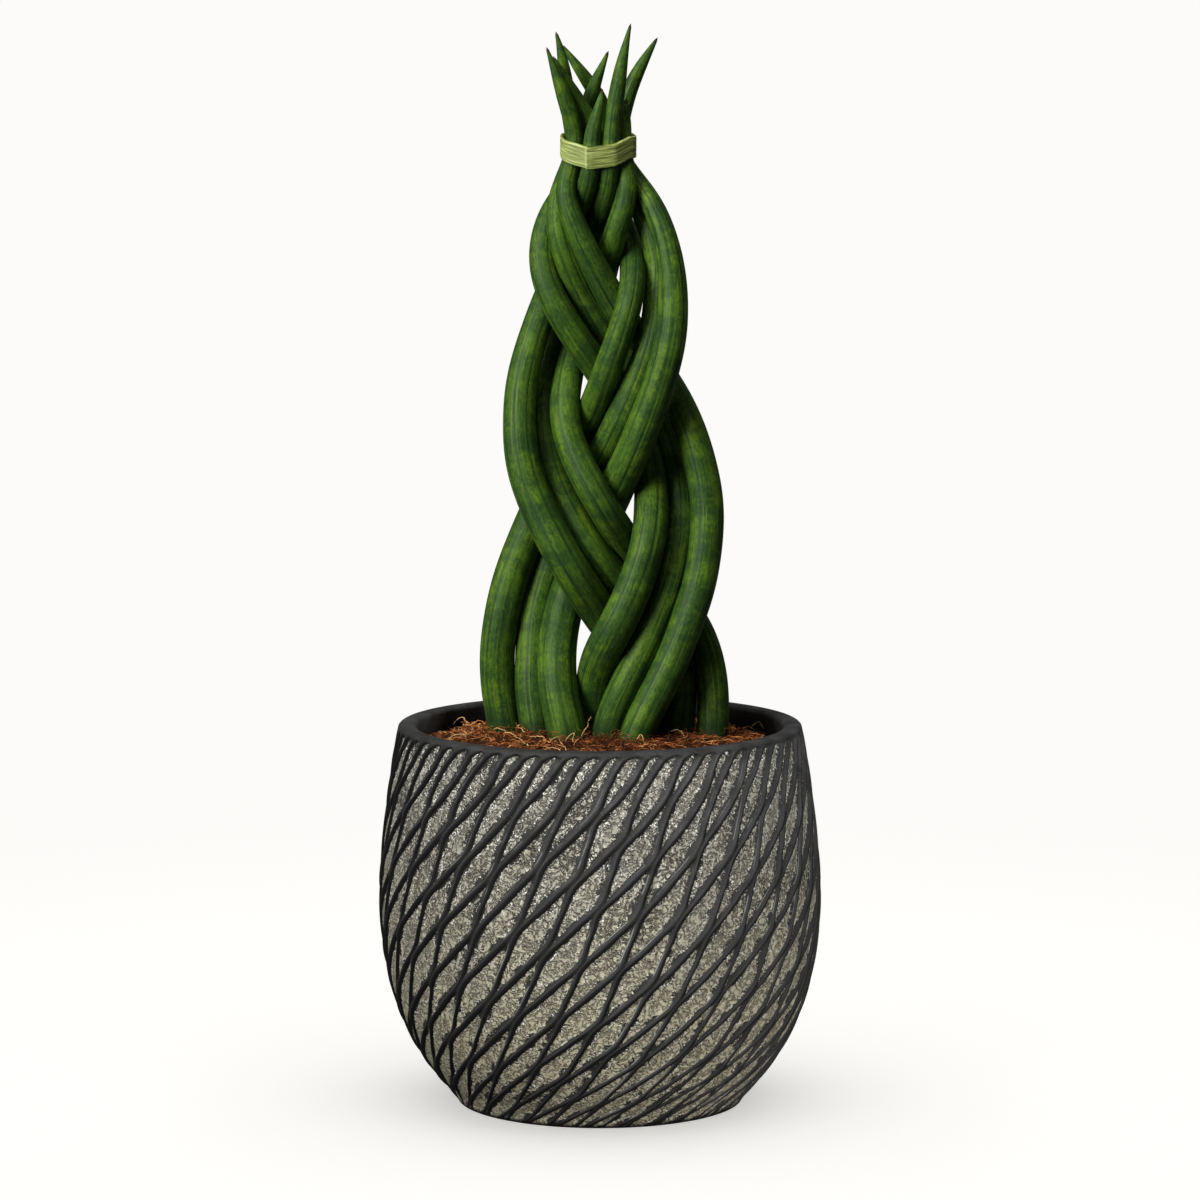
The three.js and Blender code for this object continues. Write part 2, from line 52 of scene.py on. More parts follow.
class Wire:
    """A socket of a node tree: Python's operators on wires add Math nodes to the tree."""

    def __init__(self, tree, socket=None):
        self.tree = tree
        self.socket = socket

    def node(self, kind, sockets=None, out=0, **settings):
        """Adds a node: its settings first, then its sockets' values or wires. Gives one output."""
        made = self.tree.nodes.new(kind)
        for name, value in settings.items():
            if name == "stops":
                ramp = made.color_ramp.elements
                while len(ramp) < len(value):
                    ramp.new(1.0)
                for stop, (place, color) in zip(ramp, value):
                    stop.position = place
                    stop.color = color
            else:
                setattr(made, name, value)
        for name, value in (sockets or {}).items():
            if isinstance(value, Wire):
                self.tree.links.new(value.socket, made.inputs[name])
            else:
                made.inputs[name].default_value = value
        return Wire(self.tree, made.outputs[out])

    def out(self, name):
        """Another output of the node that this wire comes from."""
        return Wire(self.tree, self.socket.node.outputs[name])

    def math(self, operation, *terms):
        return self.node("ShaderNodeMath", dict(enumerate(terms)), operation=operation)

    def __add__(self, other):
        return self.math("ADD", self, other)

    __radd__ = __add__

    def __sub__(self, other):
        return self.math("SUBTRACT", self, other)

    def __rsub__(self, other):
        return self.math("SUBTRACT", other, self)

    def __mul__(self, other):
        return self.math("MULTIPLY", self, other)

    __rmul__ = __mul__

    def __truediv__(self, other):
        return self.math("DIVIDE", self, other)

    def __rtruediv__(self, other):
        return self.math("DIVIDE", other, self)

    def __pow__(self, other):
        return self.math("POWER", self, other)

    def __mod__(self, other):
        return self.math("FLOORED_MODULO", self, other)

    def __abs__(self):
        return self.math("ABSOLUTE", self)

    def sin(self):
        return self.math("SINE", self)

    def cos(self):
        return self.math("COSINE", self)

    def floor(self):
        return self.math("FLOOR", self)

    def at_least(self, other):
        return self.math("MAXIMUM", self, other)

    def at_most(self, other):
        return self.math("MINIMUM", self, other)

    def rise(self, low, high):
        """0 up to low, 1 from high, and a soft step between."""
        span = {"Value": self, "From Min": low, "From Max": high}
        return self.node("ShaderNodeMapRange", span, interpolation_type="SMOOTHSTEP")

    def fade(self, low, high):
        """1 up to low, 0 from high, and a soft step between."""
        return 1 - self.rise(low, high)

    def blend(self, low, high):
        """Colour low where this wire is 0, high where it is 1."""
        return self.node("ShaderNodeMix", {0: self, 6: low, 7: high}, out=2, data_type="RGBA")

    def vector(self, operation, *terms):
        return self.node("ShaderNodeVectorMath", dict(enumerate(terms)), operation=operation)

    def parts(self):
        """The X, Y and Z of a vector."""
        split = self.node("ShaderNodeSeparateXYZ", {"Vector": self})
        return split, split.out("Y"), split.out("Z")

    def joined(self, x, y, z):
        return self.node("ShaderNodeCombineXYZ", {"X": x, "Y": y, "Z": z})

    def named(self, name, data_type="FLOAT"):
        """A named attribute of the geometry."""
        return self.node("GeometryNodeInputNamedAttribute", {"Name": name}, data_type=data_type)

    def store(self, name, value, data_type="FLOAT"):
        """The geometry of this wire with one more number or vector stored at each point."""
        sockets = {"Geometry": self, "Name": name, "Value": value}
        kind = "GeometryNodeStoreNamedAttribute"
        return self.node(kind, sockets, data_type=data_type, domain="POINT")


def geometry_tree(name, sizes):
    """An empty geometry tree with a geometry input, one number input for each size, and a material."""
    tree = bpy.data.node_groups.new(name, "GeometryNodeTree")
    tree.interface.new_socket("Geometry", in_out="INPUT", socket_type="NodeSocketGeometry")
    for size, value in sizes.items():
        kind = "NodeSocketInt" if isinstance(value, int) else "NodeSocketFloat"
        tree.interface.new_socket(size, in_out="INPUT", socket_type=kind).default_value = value
    tree.interface.new_socket("Material", in_out="INPUT", socket_type="NodeSocketMaterial")
    tree.interface.new_socket("Geometry", in_out="OUTPUT", socket_type="NodeSocketGeometry")
    return Wire(tree).node("NodeGroupInput")


def end_tree(geometry, material):
    """Realizes instances, gives the material and joins the geometry to the tree's output."""
    real = geometry.node("GeometryNodeRealizeInstances", {"Geometry": geometry})
    done = real.node("GeometryNodeSetMaterial", {"Geometry": real, "Material": material})
    output = done.tree.nodes.new("NodeGroupOutput")
    done.tree.links.new(done.socket, output.inputs[0])


def grid_tree(name, sizes, columns, rows):
    """A tree that starts from a flat grid. Gives its inputs, the grid, and the place of each
    point across and along it, both from 0 to 1."""
    start = geometry_tree(name, sizes)
    counts = {"Vertices X": columns + 1, "Vertices Y": rows + 1}
    grid = start.node("GeometryNodeMeshGrid", {"Size X": 1.0, "Size Y": 1.0, **counts})
    across, along, _ = start.node("GeometryNodeInputPosition").parts()
    return start, grid, across + 0.5, along + 0.5


def place_points(mesh, position, weld):
    """Moves the points of a mesh, closes its seam and its poles, and shades it smooth."""
    moved = mesh.node("GeometryNodeSetPosition", {"Geometry": mesh, "Position": position})
    closed = moved.node("GeometryNodeMergeByDistance", {"Geometry": moved, "Distance": weld})
    return closed.node("GeometryNodeSetShadeSmooth", {"Geometry": closed})


def point_line(name, points, **values):
    """A mesh of one line through points, with a number for each point under each name."""
    mesh = bpy.data.meshes.new(name)
    mesh.from_pydata(points, [(k, k + 1) for k in range(len(points) - 1)], [])
    for key, numbers in values.items():
        mesh.attributes.new(key, "FLOAT", "POINT").data.foreach_set("value", numbers)
    return mesh


def grow(name, base, start, material, **sizes):
    """Runs a geometry tree on a base mesh and links its result as a plain mesh object."""
    holder = bpy.data.objects.new(name, base)
    scene.collection.objects.link(holder)
    modifier = holder.modifiers.new("Grown", "NODES")
    modifier.node_group = start.tree
    for item in start.tree.interface.items_tree:
        if item.in_out == "INPUT" and item.name in sizes:
            modifier[item.identifier] = sizes[item.name]
        if item.in_out == "INPUT" and item.name == "Material":
            modifier[item.identifier] = material
    evaluated = holder.evaluated_get(bpy.context.evaluated_depsgraph_get())
    mesh = bpy.data.meshes.new_from_object(evaluated)
    holder.modifiers.remove(modifier)
    bpy.data.objects.remove(holder)
    piece = bpy.data.objects.new(name, mesh)
    scene.collection.objects.link(piece)
    return piece


def surface(name, **constants):
    """A material's tree and its shader, with what is the same all over set on the shader."""
    material = bpy.data.materials.new(name)
    material.use_nodes = True
    shader = material.node_tree.nodes["Principled BSDF"]
    for socket, value in constants.items():
        shader.inputs[socket.replace("_", " ")].default_value = value
    return material, shader, Wire(material.node_tree)


def finish_with(shader, wires):
    """Links wires to the shader's sockets by name."""
    for socket, wire in wires.items():
        wire.tree.links.new(wire.socket, shader.inputs[socket])


def noise(root, place, scale, detail=2.0, roughness=0.5, distortion=0.0):
    sockets = {"Vector": place, "Scale": scale, "Detail": detail, "Roughness": roughness}
    return root.node("ShaderNodeTexNoise", {**sockets, "Distortion": distortion})


def bump(root, height, depth):
    """A Bump node; depth is the real height in metres that a rise from 0 to 1 stands for."""
    return root.node("ShaderNodeBump", {"Height": height, "Distance": depth, "Strength": 1.0})


POT_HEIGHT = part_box("pot")[1].z
POT_BELLY = 0.1113                  # radius
POT_BELLY_AT = 0.106
POT_FOOT = 0.0716                   # radius
POT_MOUTH = 0.1008                  # radius
POT_WALL = 0.0088
POT_FLOOR = 0.012
FOOT_HANDLE = (0.0065, 0.011)       # the wall's two curves head out and up from the foot,
BELLY_LOWER_HANDLE = 0.032          # up to the belly from this height,
BELLY_UPPER_HANDLE = 0.0186         # up from the belly by this much
MOUTH_HANDLE = (0.0047, 0.018)      # and in to the mouth from this far out and down
FLOOR_CORNER = 0.014                # from the inside of the wall in to the flat of the floor
RIM_ROUND = 0.0022
RIM_BAND = 0.0003                   # plain stretch below the rounded rim
FOOT_BAND = 0.012                   # the carving runs out through this last stretch
RIDGES = 64
LEAN_AT_FOOT = 1.1                  # sideways travel of the net for each metre of wall
LEAN_AT_RIM = 0.68
FACET_LENGTH = 0.057                # of wall, for one swing of a ridge there and back
RIDGE_SWING = 0.34                  # of a ridge to one side, in ridge pitches
SWING_AT_RIM = 0.1                  # share of the swing that is left at the rim
STRAIGHT_BELOW_RIM = 0.036          # the ridges straighten over this stretch
RIDGE_HALF_WIDTH = 0.0017
LEAN_BREADTH = 0.35                 # how much broader a ridge is where it leans most
WIDEST_HALF = 0.46                  # of the gap between two ridges, for half of either
RIDGE_SHOULDER = 0.0015             # the flank runs from this far up on the ridge
HOLLOW_FOOT = 0.0006                # to this far out in the hollow
FULL_DEPTH_ROOM = 0.0025            # a narrower hollow is shallower
CARVING_DEPTH = 0.0016
ARCH_HEIGHT = 0.32                  # of the round tops of the hollows, in gaps between ridges
WALL_ROWS = 118
ARCH_STRETCH = 0.009                # finer rows, for the round tops
ARCH_ROWS = 20
COLUMNS_PER_RIDGE = 10


def bezier(corners, steps):
    """Points along a cubic Bezier of (radius, height) corners."""
    a, b, c, d = (np.array(corner) for corner in corners)
    t = np.linspace(0, 1, steps)[:, None]
    return a * (1 - t) ** 3 + 3 * b * t * (1 - t) ** 2 + 3 * c * t**2 * (1 - t) + d * t**3


lower = bezier([
    (POT_FOOT, 0), (POT_FOOT + FOOT_HANDLE[0], FOOT_HANDLE[1]),
    (POT_BELLY, BELLY_LOWER_HANDLE), (POT_BELLY, POT_BELLY_AT)], steps=200)
upper = bezier([
    (POT_BELLY, POT_BELLY_AT), (POT_BELLY, POT_BELLY_AT + BELLY_UPPER_HANDLE),
    (POT_MOUTH + MOUTH_HANDLE[0], POT_HEIGHT - MOUTH_HANDLE[1]), (POT_MOUTH, POT_HEIGHT)], steps=120)
wall = np.concatenate([lower, upper[1:]])
wall_run = np.concatenate([[0], np.cumsum(np.linalg.norm(np.diff(wall, axis=0), axis=1))])
carved_end = wall_run[-1] - RIM_BAND - RIM_ROUND
runs = np.concatenate([
    np.linspace(0, carved_end - ARCH_STRETCH, WALL_ROWS, endpoint=False),
    np.linspace(carved_end - ARCH_STRETCH, wall_run[-1] - RIM_ROUND, ARCH_ROWS)])
outside = np.stack([np.interp(runs, wall_run, wall[:, k]) for k in (0, 1)], axis=1)
lean = LEAN_AT_RIM + (LEAN_AT_FOOT - LEAN_AT_RIM) * (1 - runs / wall_run[-1]) ** 2.5
lean = lean * np.gradient(runs) / outside[:, 0]
twists = np.cumsum(lean) - lean[0]


def quarter(radius, height, size, turn_from, turn_to, steps=5):
    """A round edge: (radius, height) of an arc's centre, its size and its angles in degrees."""
    angles = np.radians(np.linspace(turn_from, turn_to, steps))
    return [(radius + size * math.cos(a), height + size * math.sin(a)) for a in angles]


inner_radius = POT_MOUTH - POT_WALL
rim = quarter(outside[-1, 0] - RIM_ROUND, POT_HEIGHT - RIM_ROUND, RIM_ROUND, 12, 90)
rim += quarter(inner_radius + RIM_ROUND, POT_HEIGHT - RIM_ROUND, RIM_ROUND, 90, 180)
inside_levels = [0.182, 0.174, 0.13, 0.09, 0.06, 0.034]
inside = [(np.interp(z, wall[:, 1], wall[:, 0]) - POT_WALL, z) for z in inside_levels]
floor_edge = np.interp(POT_FLOOR, wall[:, 1], wall[:, 0]) - POT_WALL - FLOOR_CORNER
inside += [(floor_edge, POT_FLOOR), (0.0, POT_FLOOR)]
profile = [(0.0, 0.0), *outside, *rim, *inside]
plain = len(rim) + len(inside)
pot_line = point_line(
    "pot_profile",
    [(radius, 0.0, height) for radius, height in profile],
    run=[0.0, *runs, *[runs[-1]] * plain],
    twist=[0.0, *twists, *[twists[-1]] * plain],
    carved=[0.0, *[1.0] * len(runs), *[0.0] * plain],
)

start, net, across, along = grid_tree(
    "carved_pot",
    {"Ridges": RIDGES, "Facet length": FACET_LENGTH, "Ridge half width": RIDGE_HALF_WIDTH,
     "Carving depth": CARVING_DEPTH, "Carving end": float(carved_end)},
    RIDGES * COLUMNS_PER_RIDGE, len(profile) - 1)
row = (along * (len(profile) - 1) + 0.5).floor()


def from_profile(value, data_type="FLOAT"):
    """A value of the profile at this point's row."""
    sockets = {"Geometry": start.out("Geometry"), "Value": value, "Index": row}
    return start.node("GeometryNodeSampleIndex", sockets, data_type=data_type)


radius, _, height = from_profile(start.node("GeometryNodeInputPosition"), "FLOAT_VECTOR").parts()
run = from_profile(start.named("run"))
twist = from_profile(start.named("twist"))
carved = from_profile(start.named("carved"))
ridges = start.out("Ridges")
place = across * ridges + 0.001     # a hair more, so that the rounding keeps a ridge's first column
ridge = place.floor()
step = (place - ridge) * COLUMNS_PER_RIDGE
turn = run * 2 * math.pi / start.out("Facet length")
freedom = ((start.out("Carving end") - run) / STRAIGHT_BELOW_RIM).at_least(0.0).at_most(1.0)
freedom = freedom * (1 - SWING_AT_RIM) + SWING_AT_RIM


def weave(ridge):
    """How far a ridge stands to the side of its even place, in ridge pitches, and its half width:
    it swings to one side and back, and is broader where it leans more."""
    number = ((ridge + 0.5) % ridges).floor()
    drift = (number * 0.9).sin() * 0.5 + (turn * 0.4 + number * 0.7).sin() * 0.35
    phase = turn + number * 2 * math.pi * 3 / RIDGES + drift
    side = (1 - (number % 2) * 2) * freedom
    swing = (number * 1.9 + 0.6).sin() * 0.04 + RIDGE_SWING
    sway = side * swing * (phase.cos() + (phase * 3).cos() / 9)
    breadth = 1 - side * phase.sin() * LEAN_BREADTH
    return sway, breadth * radius * start.out("Ridge half width") / POT_BELLY


left, left_half = weave(ridge)
right, right_half = weave(ridge + 1)
gap = (right - left + 1) * radius * 2 * math.pi / RIDGES
room = gap - left_half - right_half
middle = left_half + room / 2
left_half = left_half.at_most(gap * WIDEST_HALF)
right_half = right_half.at_most(gap * WIDEST_HALF)
# Steps 0 to 2 lie on the left ridge's half, 2 to 8 in the hollow, 8 to 10 on the right ridge's half.
aside = left_half * (step / 2).at_most(1.0) + right_half * (step / 2 - 4).at_least(0.0)
aside = aside + (gap - left_half - right_half) * ((step - 2) / 6).at_least(0.0).at_most(1.0)
to_band = ((start.out("Carving end") - run) / (gap * ARCH_HEIGHT)).at_least(0.0).at_most(1.0)
arch = (1 - (1 - to_band) ** 2) ** 0.5
within = room / 2 * arch - abs(aside - middle)
within = within * carved - (1 - carved) * RIDGE_HALF_WIDTH
relief = within.rise(-RIDGE_SHOULDER, HOLLOW_FOOT) * carved
relief = relief * (room / FULL_DEPTH_ROOM).at_most(1.0).at_least(0.0)
relief = relief * (run / FOOT_BAND).at_most(1.0)
reach = radius - relief * start.out("Carving depth")
angle = (ridge + left) * 2 * math.pi / RIDGES + aside / radius + twist
position = start.joined(reach * angle.cos(), reach * angle.sin(), height)
net = net.store("within", within).store("lateral", (aside / gap * 2 - 1) * to_band)
end_tree(place_points(net, position, 0.00002), start.out("Material"))

CHARCOAL = (0.009, 0.009, 0.009, 1)
CHARCOAL_LIT = (0.023, 0.023, 0.022, 1)
# painted highlight colour of the ridges
CHARCOAL_SHEEN = (0.052, 0.053, 0.052, 1)
# black of the painted shadows
SHADOW_BLACK = (0.002, 0.002, 0.002, 1)
PIT = (0.026, 0.025, 0.021, 1)
STIPPLE_GREY = (0.268, 0.257, 0.205, 1)
STIPPLE_BEIGE = (0.42, 0.382, 0.256, 1)
STIPPLE_PALE = (0.85, 0.85, 0.80, 1)
SLIP_EDGE = 0.0010                  # the pale slip ends this soon at a clean edge of a hollow
SLIP_FADE = 0.0042                  # and later by this much at a rubbed one

pot_slip, shader, root = surface("pot_slip", Roughness=0.6, Specular_IOR_Level=0.13)
spot = root.node("ShaderNodeTexCoord", out="Object")
within = root.node("ShaderNodeAttribute", out="Fac", attribute_name="within")
lateral = root.node("ShaderNodeAttribute", out="Fac", attribute_name="lateral")
height = spot.parts()[2]
swirls = noise(root, spot, 330.0, 2.0, 0.6, 0.5)
fine = noise(root, spot, 1300.0, 1.0)
cloud = noise(root, spot, 28.0, 3.0, 0.6)
patch = noise(root, spot, 95.0, 2.0)
worms = (swirls * 19 + fine * 3).sin() * 0.5 + 0.5
to_right = lateral.rise(-0.3, 0.4)
rubbed = (height.rise(0.08, 0.18) * 0.75 + patch.rise(0.5, 0.6)).at_most(1.0)
left_fade = SLIP_EDGE + SLIP_FADE * 0.6 * patch.rise(0.56, 0.66)
right_fade = SLIP_EDGE + SLIP_FADE * rubbed
fade_over = left_fade + (right_fade - left_fade) * to_right
slip = (within / fade_over + 0.2).at_most(1.0).at_least(0.0)
weathered = (cloud * 0.7 + 0.5 - height * 3.6).rise(0.25, 0.85)
tone = weathered.blend(STIPPLE_GREY, STIPPLE_BEIGE)
thin = cloud.rise(0.45, 0.72) * height.rise(0.06, 0.13) * 0.22
grain = (worms * 0.45 + fine * 0.6 - (1 - slip) * 0.95 - thin).rise(0.08, 0.66)
specks = fine.rise(0.58, 0.63) * grain * (rubbed * 0.7 + 0.3) * within.fade(0.002, 0.006)
# painted light: each ridge's left flank is painted lighter than its right, as if lit from the upper
# left
lit_flank = lateral.rise(-0.9, 0.9)
ridge_tone = lit_flank.blend(CHARCOAL, CHARCOAL_LIT)
# painted highlight: a grey sheen on the lit flanks of the ridges, mostly near the top and on the rim
painted_sheen = (noise(root, spot, 90.0, 3.0) * 0.6 + fine * 0.4).rise(0.38, 0.66)
painted_sheen = painted_sheen * (height.rise(0.09, 0.19) * 0.8 + 0.2)
ridge_tone = (painted_sheen * lit_flank).blend(ridge_tone, CHARCOAL_SHEEN)
# painted shadow: a thin black line along the shaded right edge of each ridge
crevice_shadow = (1 - abs(within + 0.0002) / 0.0006).at_least(0.0) * lateral.fade(-0.4, 0.1)
ridge_tone = crevice_shadow.blend(ridge_tone, SHADOW_BLACK)
ground = (slip * 0.8).blend(ridge_tone, PIT)
hollow = specks.blend(grain.blend(ground, tone), STIPPLE_PALE)
# painted highlight: a pale line along the left edge of each ridge, where its flank faces the light
edge_highlight = (1 - abs(within - 0.0003) / 0.0005).at_least(0.0) * lateral.rise(0.1, 0.6) * (1 - rubbed)
hollow = (edge_highlight * cloud.rise(0.45, 0.6) * 0.3).blend(hollow, STIPPLE_PALE)
in_hollow = within.rise(-0.0003, 0.0001)
pebbled = bump(root, grain * in_hollow + fine * 0.2, 0.0007)
# painted shadow: the lowest few millimetres of the pot are painted black, standing for the contact
# shadow on the floor
foot_shadow = height.fade(0.0008, 0.0032) * 0.9
glazed = foot_shadow.blend(in_hollow.blend(ridge_tone, hollow), SHADOW_BLACK)
finish_with(shader, {"Base Color": glazed, "Normal": pebbled})

pot = grow("pot_shell", pot_line, start, pot_slip)
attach(pot, "root")
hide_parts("pot")

# ---------------------------------------------------------------- potting soil
# Dark peat with fine bark, filled in moist round the roots and pressed down by hand. It holds the
# nine leaves upright and lies out of sight under the coir.
PEAT_BLACK = (0.01, 0.006, 0.004, 1)
PEAT_BROWN = (0.07, 0.045, 0.03, 1)

peat, shader, root = surface("peat", Roughness=0.95)
crumbs = noise(root, root.node("ShaderNodeTexCoord", out="Object"), 350.0, 4.0, 0.7)
finish_with(shader, {"Base Color": crumbs.blend(PEAT_BLACK, PEAT_BROWN),
                     "Normal": bump(root, crumbs, 0.001)})
for part in nodes["potting_soil"].material_slots:
    part.material = peat

# ---------------------------------------------------------------- leaves
# Nine round fleshy leaves of one plant, each a solid rod with shallow furrows from end to end and
# a hard dry point. They were plaited while young, three strands of three, and grew into the plait.
SECTION_STEP = 0.007                # between the levels at which a leaf's middle line is read
LOWEST_SECTION = 0.0015             # above its lower end
TOPMOST_SECTION = 0.002             # below its tip
OCTAGON_AREA = 2 * math.sqrt(2)     # of a regular eight-sided section of radius 1
ROUND_SWELL = 1.012                 # the round section is this much wider than the solid's
TIP_RADIUS = 0.0005
LEAF_FURROWS = 8
FURROW_DEPTH = 0.0002
FURROWS_END = 0.06                  # the furrows run out over this last stretch
TIP_ROUND = 0.0012
FOOT_ROUND = 0.003
LEAF_SHIFT = 1.3                    # between the patterns of two leaves, so that no two are alike
LEAF_FOOT = 0.186                   # where the leaves come up out of the coir
SHADED_ABOVE_COIR = 0.016                  # painted shade: they are darkened up to this far above the coir, where the rim and leaves shade them
LEAF_COLUMNS = 80
LEAF_ROWS = 240
LINE_POINTS = 200
LEAF_DEEP = (0.018, 0.050, 0.012, 1)
LEAF_GREEN = (0.074, 0.152, 0.012, 1)
LEAF_BRIGHT = (0.140, 0.225, 0.012, 1)
FURROW_DARK = (0.007, 0.022, 0.008, 1)
TIP_BROWN = (0.03, 0.015, 0.006, 1)


def solid_triangles(name):
    """The corners of a CAD solid's triangles."""
    solid = nodes[name].data
    corners = np.empty(3 * len(solid.vertices))
    solid.vertices.foreach_get("co", corners)
    used = np.empty(len(solid.loops), int)
    solid.loops.foreach_get("vertex_index", used)
    return corners.reshape(-1, 3)[used].reshape(-1, 3, 3)


def section(triangles, level):
    """Area and middle of the outline that a level cuts from a solid's triangles."""
    ahead = np.roll(triangles, -1, axis=1)
    low, high = triangles[..., 2], ahead[..., 2]
    rising = (low < level) & (high >= level)
    falling = (low >= level) & (high < level)
    share = (level - low) / np.where(rising | falling, high - low, 1)
    crossing = triangles + (ahead - triangles) * share[..., None]
    begin, end = crossing[falling], crossing[rising]
    doubled = begin[:, 0] * end[:, 1] - begin[:, 1] * end[:, 0]
    area = doubled.sum() / 2
    middle = ((begin + end) * doubled[:, None]).sum(axis=0) / (6 * area)
    return area, [middle[0], middle[1], level]


def softened(values, rounds):
    """Smooths the values of a line in place and leaves its two ends as they are."""
    for _ in range(rounds):
        values[1:-1] = (values[:-2] + 2 * values[1:-1] + values[2:]) / 4
    return values


def leaf_line(name):
    """The middle line of a CAD leaf as a mesh, with the radius of its round section."""
    triangles = solid_triangles(name)
    tip = triangles.reshape(-1, 3)[triangles[..., 2].argmax()]
    foot = triangles[..., 2].min()
    levels = np.arange(foot + LOWEST_SECTION, tip[2] - TOPMOST_SECTION, SECTION_STEP)
    cuts = [section(triangles, level) for level in levels]
    points = softened(np.array([middle for _, middle in cuts] + [tip]), 2)
    # Smoothing cuts the bends short, so what a second one would cut off is put back on.
    points = 2 * points - softened(points.copy(), 2)
    headings = np.gradient(points, axis=0)
    upright = headings[:-1, 2] / np.linalg.norm(headings[:-1], axis=1)
    areas = np.array([area for area, _ in cuts])
    radii = np.sqrt(areas * upright / OCTAGON_AREA) * ROUND_SWELL
    thick = softened(np.append(radii, TIP_RADIUS), 2)
    return point_line(name, points.tolist(), thick=thick)


start, skin, across, along = grid_tree(
    "leaf", {"Furrows": LEAF_FURROWS, "Furrow depth": FURROW_DEPTH, "Offset": 0.0},
    LEAF_COLUMNS, LEAF_ROWS)
line = start.node("GeometryNodeMeshToCurve", {"Mesh": start.out("Geometry")})
line = line.node("GeometryNodeCurveSplineType", {"Curve": line}, spline_type="CATMULL_ROM")
line = line.node("GeometryNodeResampleCurve", {"Curve": line, "Count": LINE_POINTS}, mode="COUNT")
sample = start.node("GeometryNodeSampleCurve", {
    "Curves": line, "Value": start.named("thick"), "Factor": along}, mode="FACTOR", data_type="FLOAT")
middle, heading, north = (sample.out(name) for name in ("Position", "Tangent", "Normal"))
length = start.node("GeometryNodeCurveLength", {"Curve": line})
run = along * length
to_tip = length - run
east = heading.vector("CROSS_PRODUCT", heading, north)
angle = across * 2 * math.pi
offset = start.out("Offset")
drawn = start.joined(angle.cos() * 0.5, angle.sin() * 0.5, run * 18 + offset * 10)
swell = noise(start, drawn, 1.0, 2.0)
drawn = start.joined(angle.cos() * 1.6, angle.sin() * 1.6, run * 6 + offset * 10)
gate = noise(start, drawn, 1.0, 1.0)
wobble = (run * 16 + offset * 5).sin() * 0.12
furrow = ((angle + wobble) * start.out("Furrows")).cos() * 0.5 + 0.5
furrow = furrow**12 * gate.rise(0.33, 0.5) * (to_tip / FURROWS_END).at_most(1.0)
ends = (to_tip / TIP_ROUND).at_most(1.0) ** 0.5 * (run / FOOT_ROUND).at_most(1.0)
reach = (sample * (swell * 0.05 + 0.975) - furrow * start.out("Furrow depth")) * ends
outward = middle.vector("MULTIPLY_ADD", north, reach * angle.cos(), middle)
outward = middle.vector("MULTIPLY_ADD", east, reach * angle.sin(), outward)
leaf_place = start.joined(angle.cos() * reach, angle.sin() * reach, run + offset)
skin = skin.store("leaf_place", leaf_place, "FLOAT_VECTOR").store("furrow", furrow)
skin = skin.store("to_tip", to_tip)
end_tree(place_points(skin, outward, 0.00001), start.out("Material"))

leaf_skin, shader, root = surface(
    "leaf_skin", Roughness=0.5, Specular_IOR_Level=0.2, Specular_Tint=(0.75, 0.9, 0.6, 1))
place = root.node("ShaderNodeAttribute", out="Vector", attribute_name="leaf_place")
furrow = root.node("ShaderNodeAttribute", out="Fac", attribute_name="furrow")
to_tip = root.node("ShaderNodeAttribute", out="Fac", attribute_name="to_tip")
x, y, z = place.parts()
bands = noise(root, root.joined(x * 55, y * 55, z * 80), 1.0, 3.0, 0.6)
patches = noise(root, root.joined(x * 150, y * 150, z * 55 + 7), 1.0, 2.0)
streaks = noise(root, root.joined(x * 1000, y * 1000, z * 22), 1.0, 2.0)
speckle = noise(root, root.joined(x * 900, y * 900, z * 500), 1.0, 2.0, 0.6)
tone = (bands * 0.5 + speckle * 0.35 + patches * 0.15).rise(0.34, 0.66).blend(LEAF_DEEP, LEAF_GREEN)
blotches = noise(root, root.joined(x * 40, y * 40, z * 100 + 3), 1.0, 2.0).rise(0.5, 0.57)
tone = (blotches * 0.55).blend(tone, LEAF_DEEP)
lively = (patches * 0.65 + speckle * 0.35).rise(0.5, 0.66) * bands.rise(0.4, 0.55)
tone = (lively * 0.5).blend(tone, LEAF_BRIGHT)
pale_lines = streaks.fade(0.3, 0.42) * 0.4
tone = pale_lines.blend(tone, LEAF_BRIGHT)
lined = (furrow * 0.7 + streaks.rise(0.52, 0.7) * 0.4).at_most(1.0)
tone = lined.blend(tone, FURROW_DARK)
level = root.node("ShaderNodeTexCoord", out="Object").parts()[2] + (patches - 0.5) * 0.02
# painted shade: the leaves' feet darken towards the coir
tone = (level.fade(LEAF_FOOT - 0.002, LEAF_FOOT + SHADED_ABOVE_COIR) * 0.75).blend(tone, FURROW_DARK)
dry = (to_tip + (streaks - 0.5) * 0.002).fade(0.0015, 0.0035)
skin_bump = bump(root, streaks * 0.4 + speckle * 0.6, 0.0003)
finish_with(shader, {"Base Color": dry.blend(tone, TIP_BROWN), "Normal": skin_bump,
                     "Roughness": speckle * 0.2 + 0.38})

leaf_names = [name for name in nodes if name.startswith("leaf_")]
for k, name in enumerate(leaf_names):
    leaf = grow(name + "_flesh", leaf_line(name), start, leaf_skin, Offset=LEAF_SHIFT * k)
    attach(leaf, "root")
    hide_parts(name)

